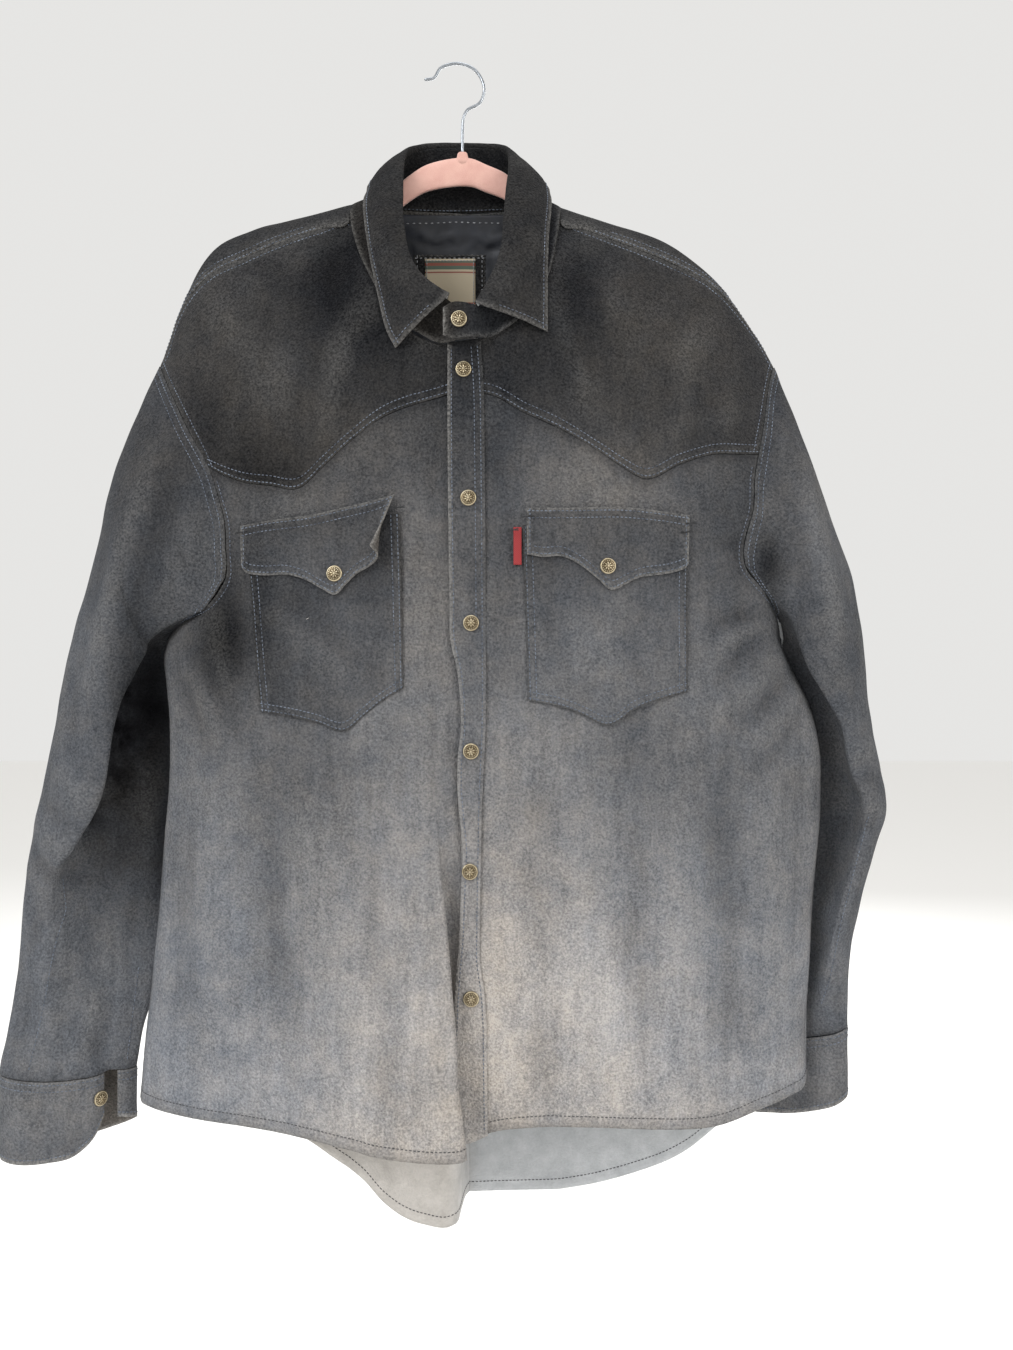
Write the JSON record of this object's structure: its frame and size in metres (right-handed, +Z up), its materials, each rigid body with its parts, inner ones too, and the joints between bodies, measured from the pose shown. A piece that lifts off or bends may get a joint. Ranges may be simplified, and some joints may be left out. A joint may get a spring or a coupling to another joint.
{
  "type": "worn leather jacket on a hanger",
  "caption": "Worn suede shirt jacket with a pointed collar, curved yokes, flapped chest pockets and a snap front, hanging empty on a slim flocked hanger with a wire hook.",
  "frame": {"origin": "top of the inside of the hanger's hook, where the hook rests on what carries it", "axes": "+Z up, +X to the wearer's left, +Y to the back of the garment"},
  "size_m": [0.7513, 0.1323, 0.9784],
  "materials": {
    "dark_suede": "matte worn suede, near black with a brown cast, darker at the collar and yokes",
    "grey_suede": "matte worn suede, charcoal grey with a slate blue cast in places",
    "faded_suede": "matte worn suede, faded to a warm taupe grey towards the hem",
    "navy_satin": "smooth satin weave, soft sheen, wrinkled",
    "black_patch": "plain woven cloth with a pinked edge",
    "cream_label": null,
    "rust_tape": "plain woven tape, muted rust red, no lettering",
    "brass_snaps": "aged brass caps with a plain ring of dots",
    "pink_flock": "short velvety flock, pale pink",
    "chrome_wire": "bright plated wire"
  },
  "bodies": {
    "root": {"right_front_yoke": "dark_suede", "left_front_yoke": "dark_suede", "right_front_panel": "faded_suede", "left_front_panel": "faded_suede", "back_yoke": "dark_suede", "back_panel": "faded_suede", "placket_band": "grey_suede", "right_pocket": "grey_suede", "right_pocket_flap": "dark_suede", "left_pocket": "grey_suede", "left_pocket_flap": "dark_suede", "pocket_tape": "rust_tape", "collar_leaf": "dark_suede", "collar_stand": "dark_suede", "yoke_lining": "navy_satin", "label_patch": "black_patch", "neck_label": "cream_label", "right_sleeve": "grey_suede", "left_sleeve": "grey_suede", "right_cuff": "grey_suede", "left_cuff": "grey_suede", "placket_snap_1": "brass_snaps", "placket_snap_2": "brass_snaps", "placket_snap_3": "brass_snaps", "placket_snap_4": "brass_snaps", "placket_snap_5": "brass_snaps", "placket_snap_6": "brass_snaps", "collar_snap": "brass_snaps", "right_flap_snap": "brass_snaps", "left_flap_snap": "brass_snaps", "right_cuff_snap": "brass_snaps", "hanger_body": "pink_flock", "hanger_hook": "chrome_wire"}
  },
  "joints": []
}
